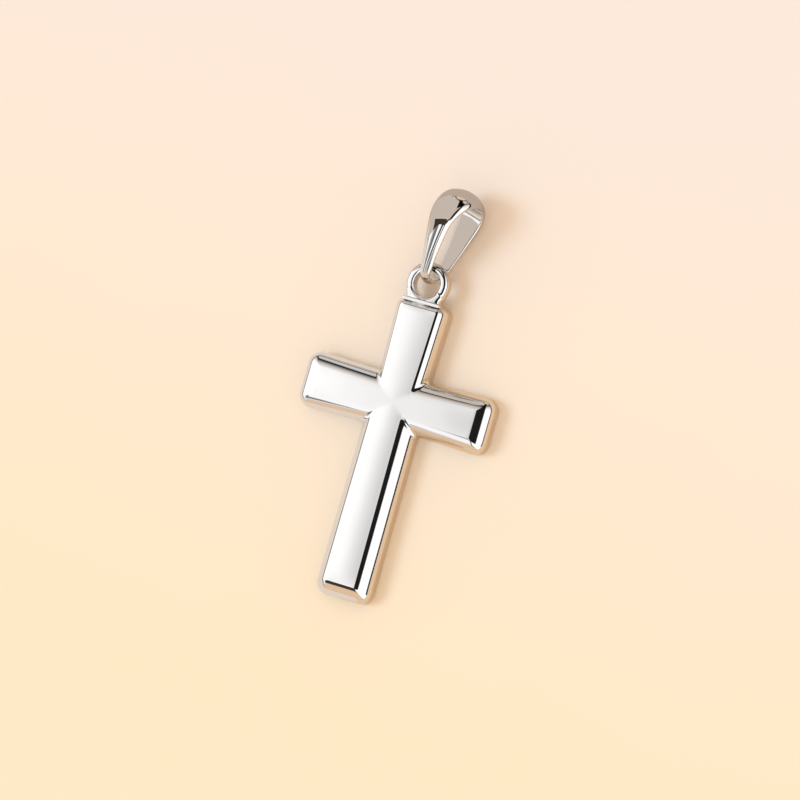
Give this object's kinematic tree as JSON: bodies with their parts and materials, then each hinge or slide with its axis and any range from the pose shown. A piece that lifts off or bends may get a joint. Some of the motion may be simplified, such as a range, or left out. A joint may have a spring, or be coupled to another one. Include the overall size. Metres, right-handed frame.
{
  "type": "cross pendant",
  "caption": "Plain polished Latin cross pendant with rolled edges, a fixed loop on its stem and a loose teardrop bail for a chain.",
  "frame": {"origin": "under the middle of the whole pendant, in the plane that the flat back lies on", "axes": "+X along the arms to the right as seen from the front, +Y up the stem towards the bail, +Z out of the front"},
  "size_m": [0.013, 0.0274, 0.004],
  "materials": {
    "cross": "mirror-polished white metal",
    "bail": "mirror-polished white metal"
  },
  "bodies": {
    "root": {"cross": "cross", "bail": "bail"}
  },
  "joints": []
}
